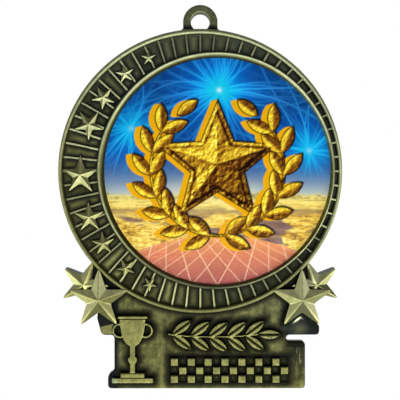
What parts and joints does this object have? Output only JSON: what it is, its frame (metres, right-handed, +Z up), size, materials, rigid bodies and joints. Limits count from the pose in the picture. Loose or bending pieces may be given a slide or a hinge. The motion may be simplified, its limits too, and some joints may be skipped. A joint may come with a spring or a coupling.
{
  "type": "finisher medal",
  "caption": "Antique brass finisher medal: round ribbed star band, corner stars, relief plinth, ribbon loop and a domed printed disc.",
  "frame": {"origin": "centre of the ribbon loop's hole, halfway through the loop", "axes": "+Z up the hanging medal, +X to the right seen from the front, the front faces -Y and the flat back +Y"},
  "size_m": [0.0635, 0.007, 0.0864],
  "materials": {
    "antique_brass": "antique brass plating over cast zinc: dark patina in the recesses, relieved to satin brass on the raised parts",
    "adhesive_foam": "white double-sided foam tape",
    "printed_film": "full-colour print on a thin plastic disc",
    "clear_resin": "clear cast resin"
  },
  "bodies": {
    "root": {"medal_casting": "antique_brass", "adhesive_pad": "adhesive_foam", "printed_insert": "printed_film", "clear_dome": "clear_resin"}
  },
  "joints": []
}
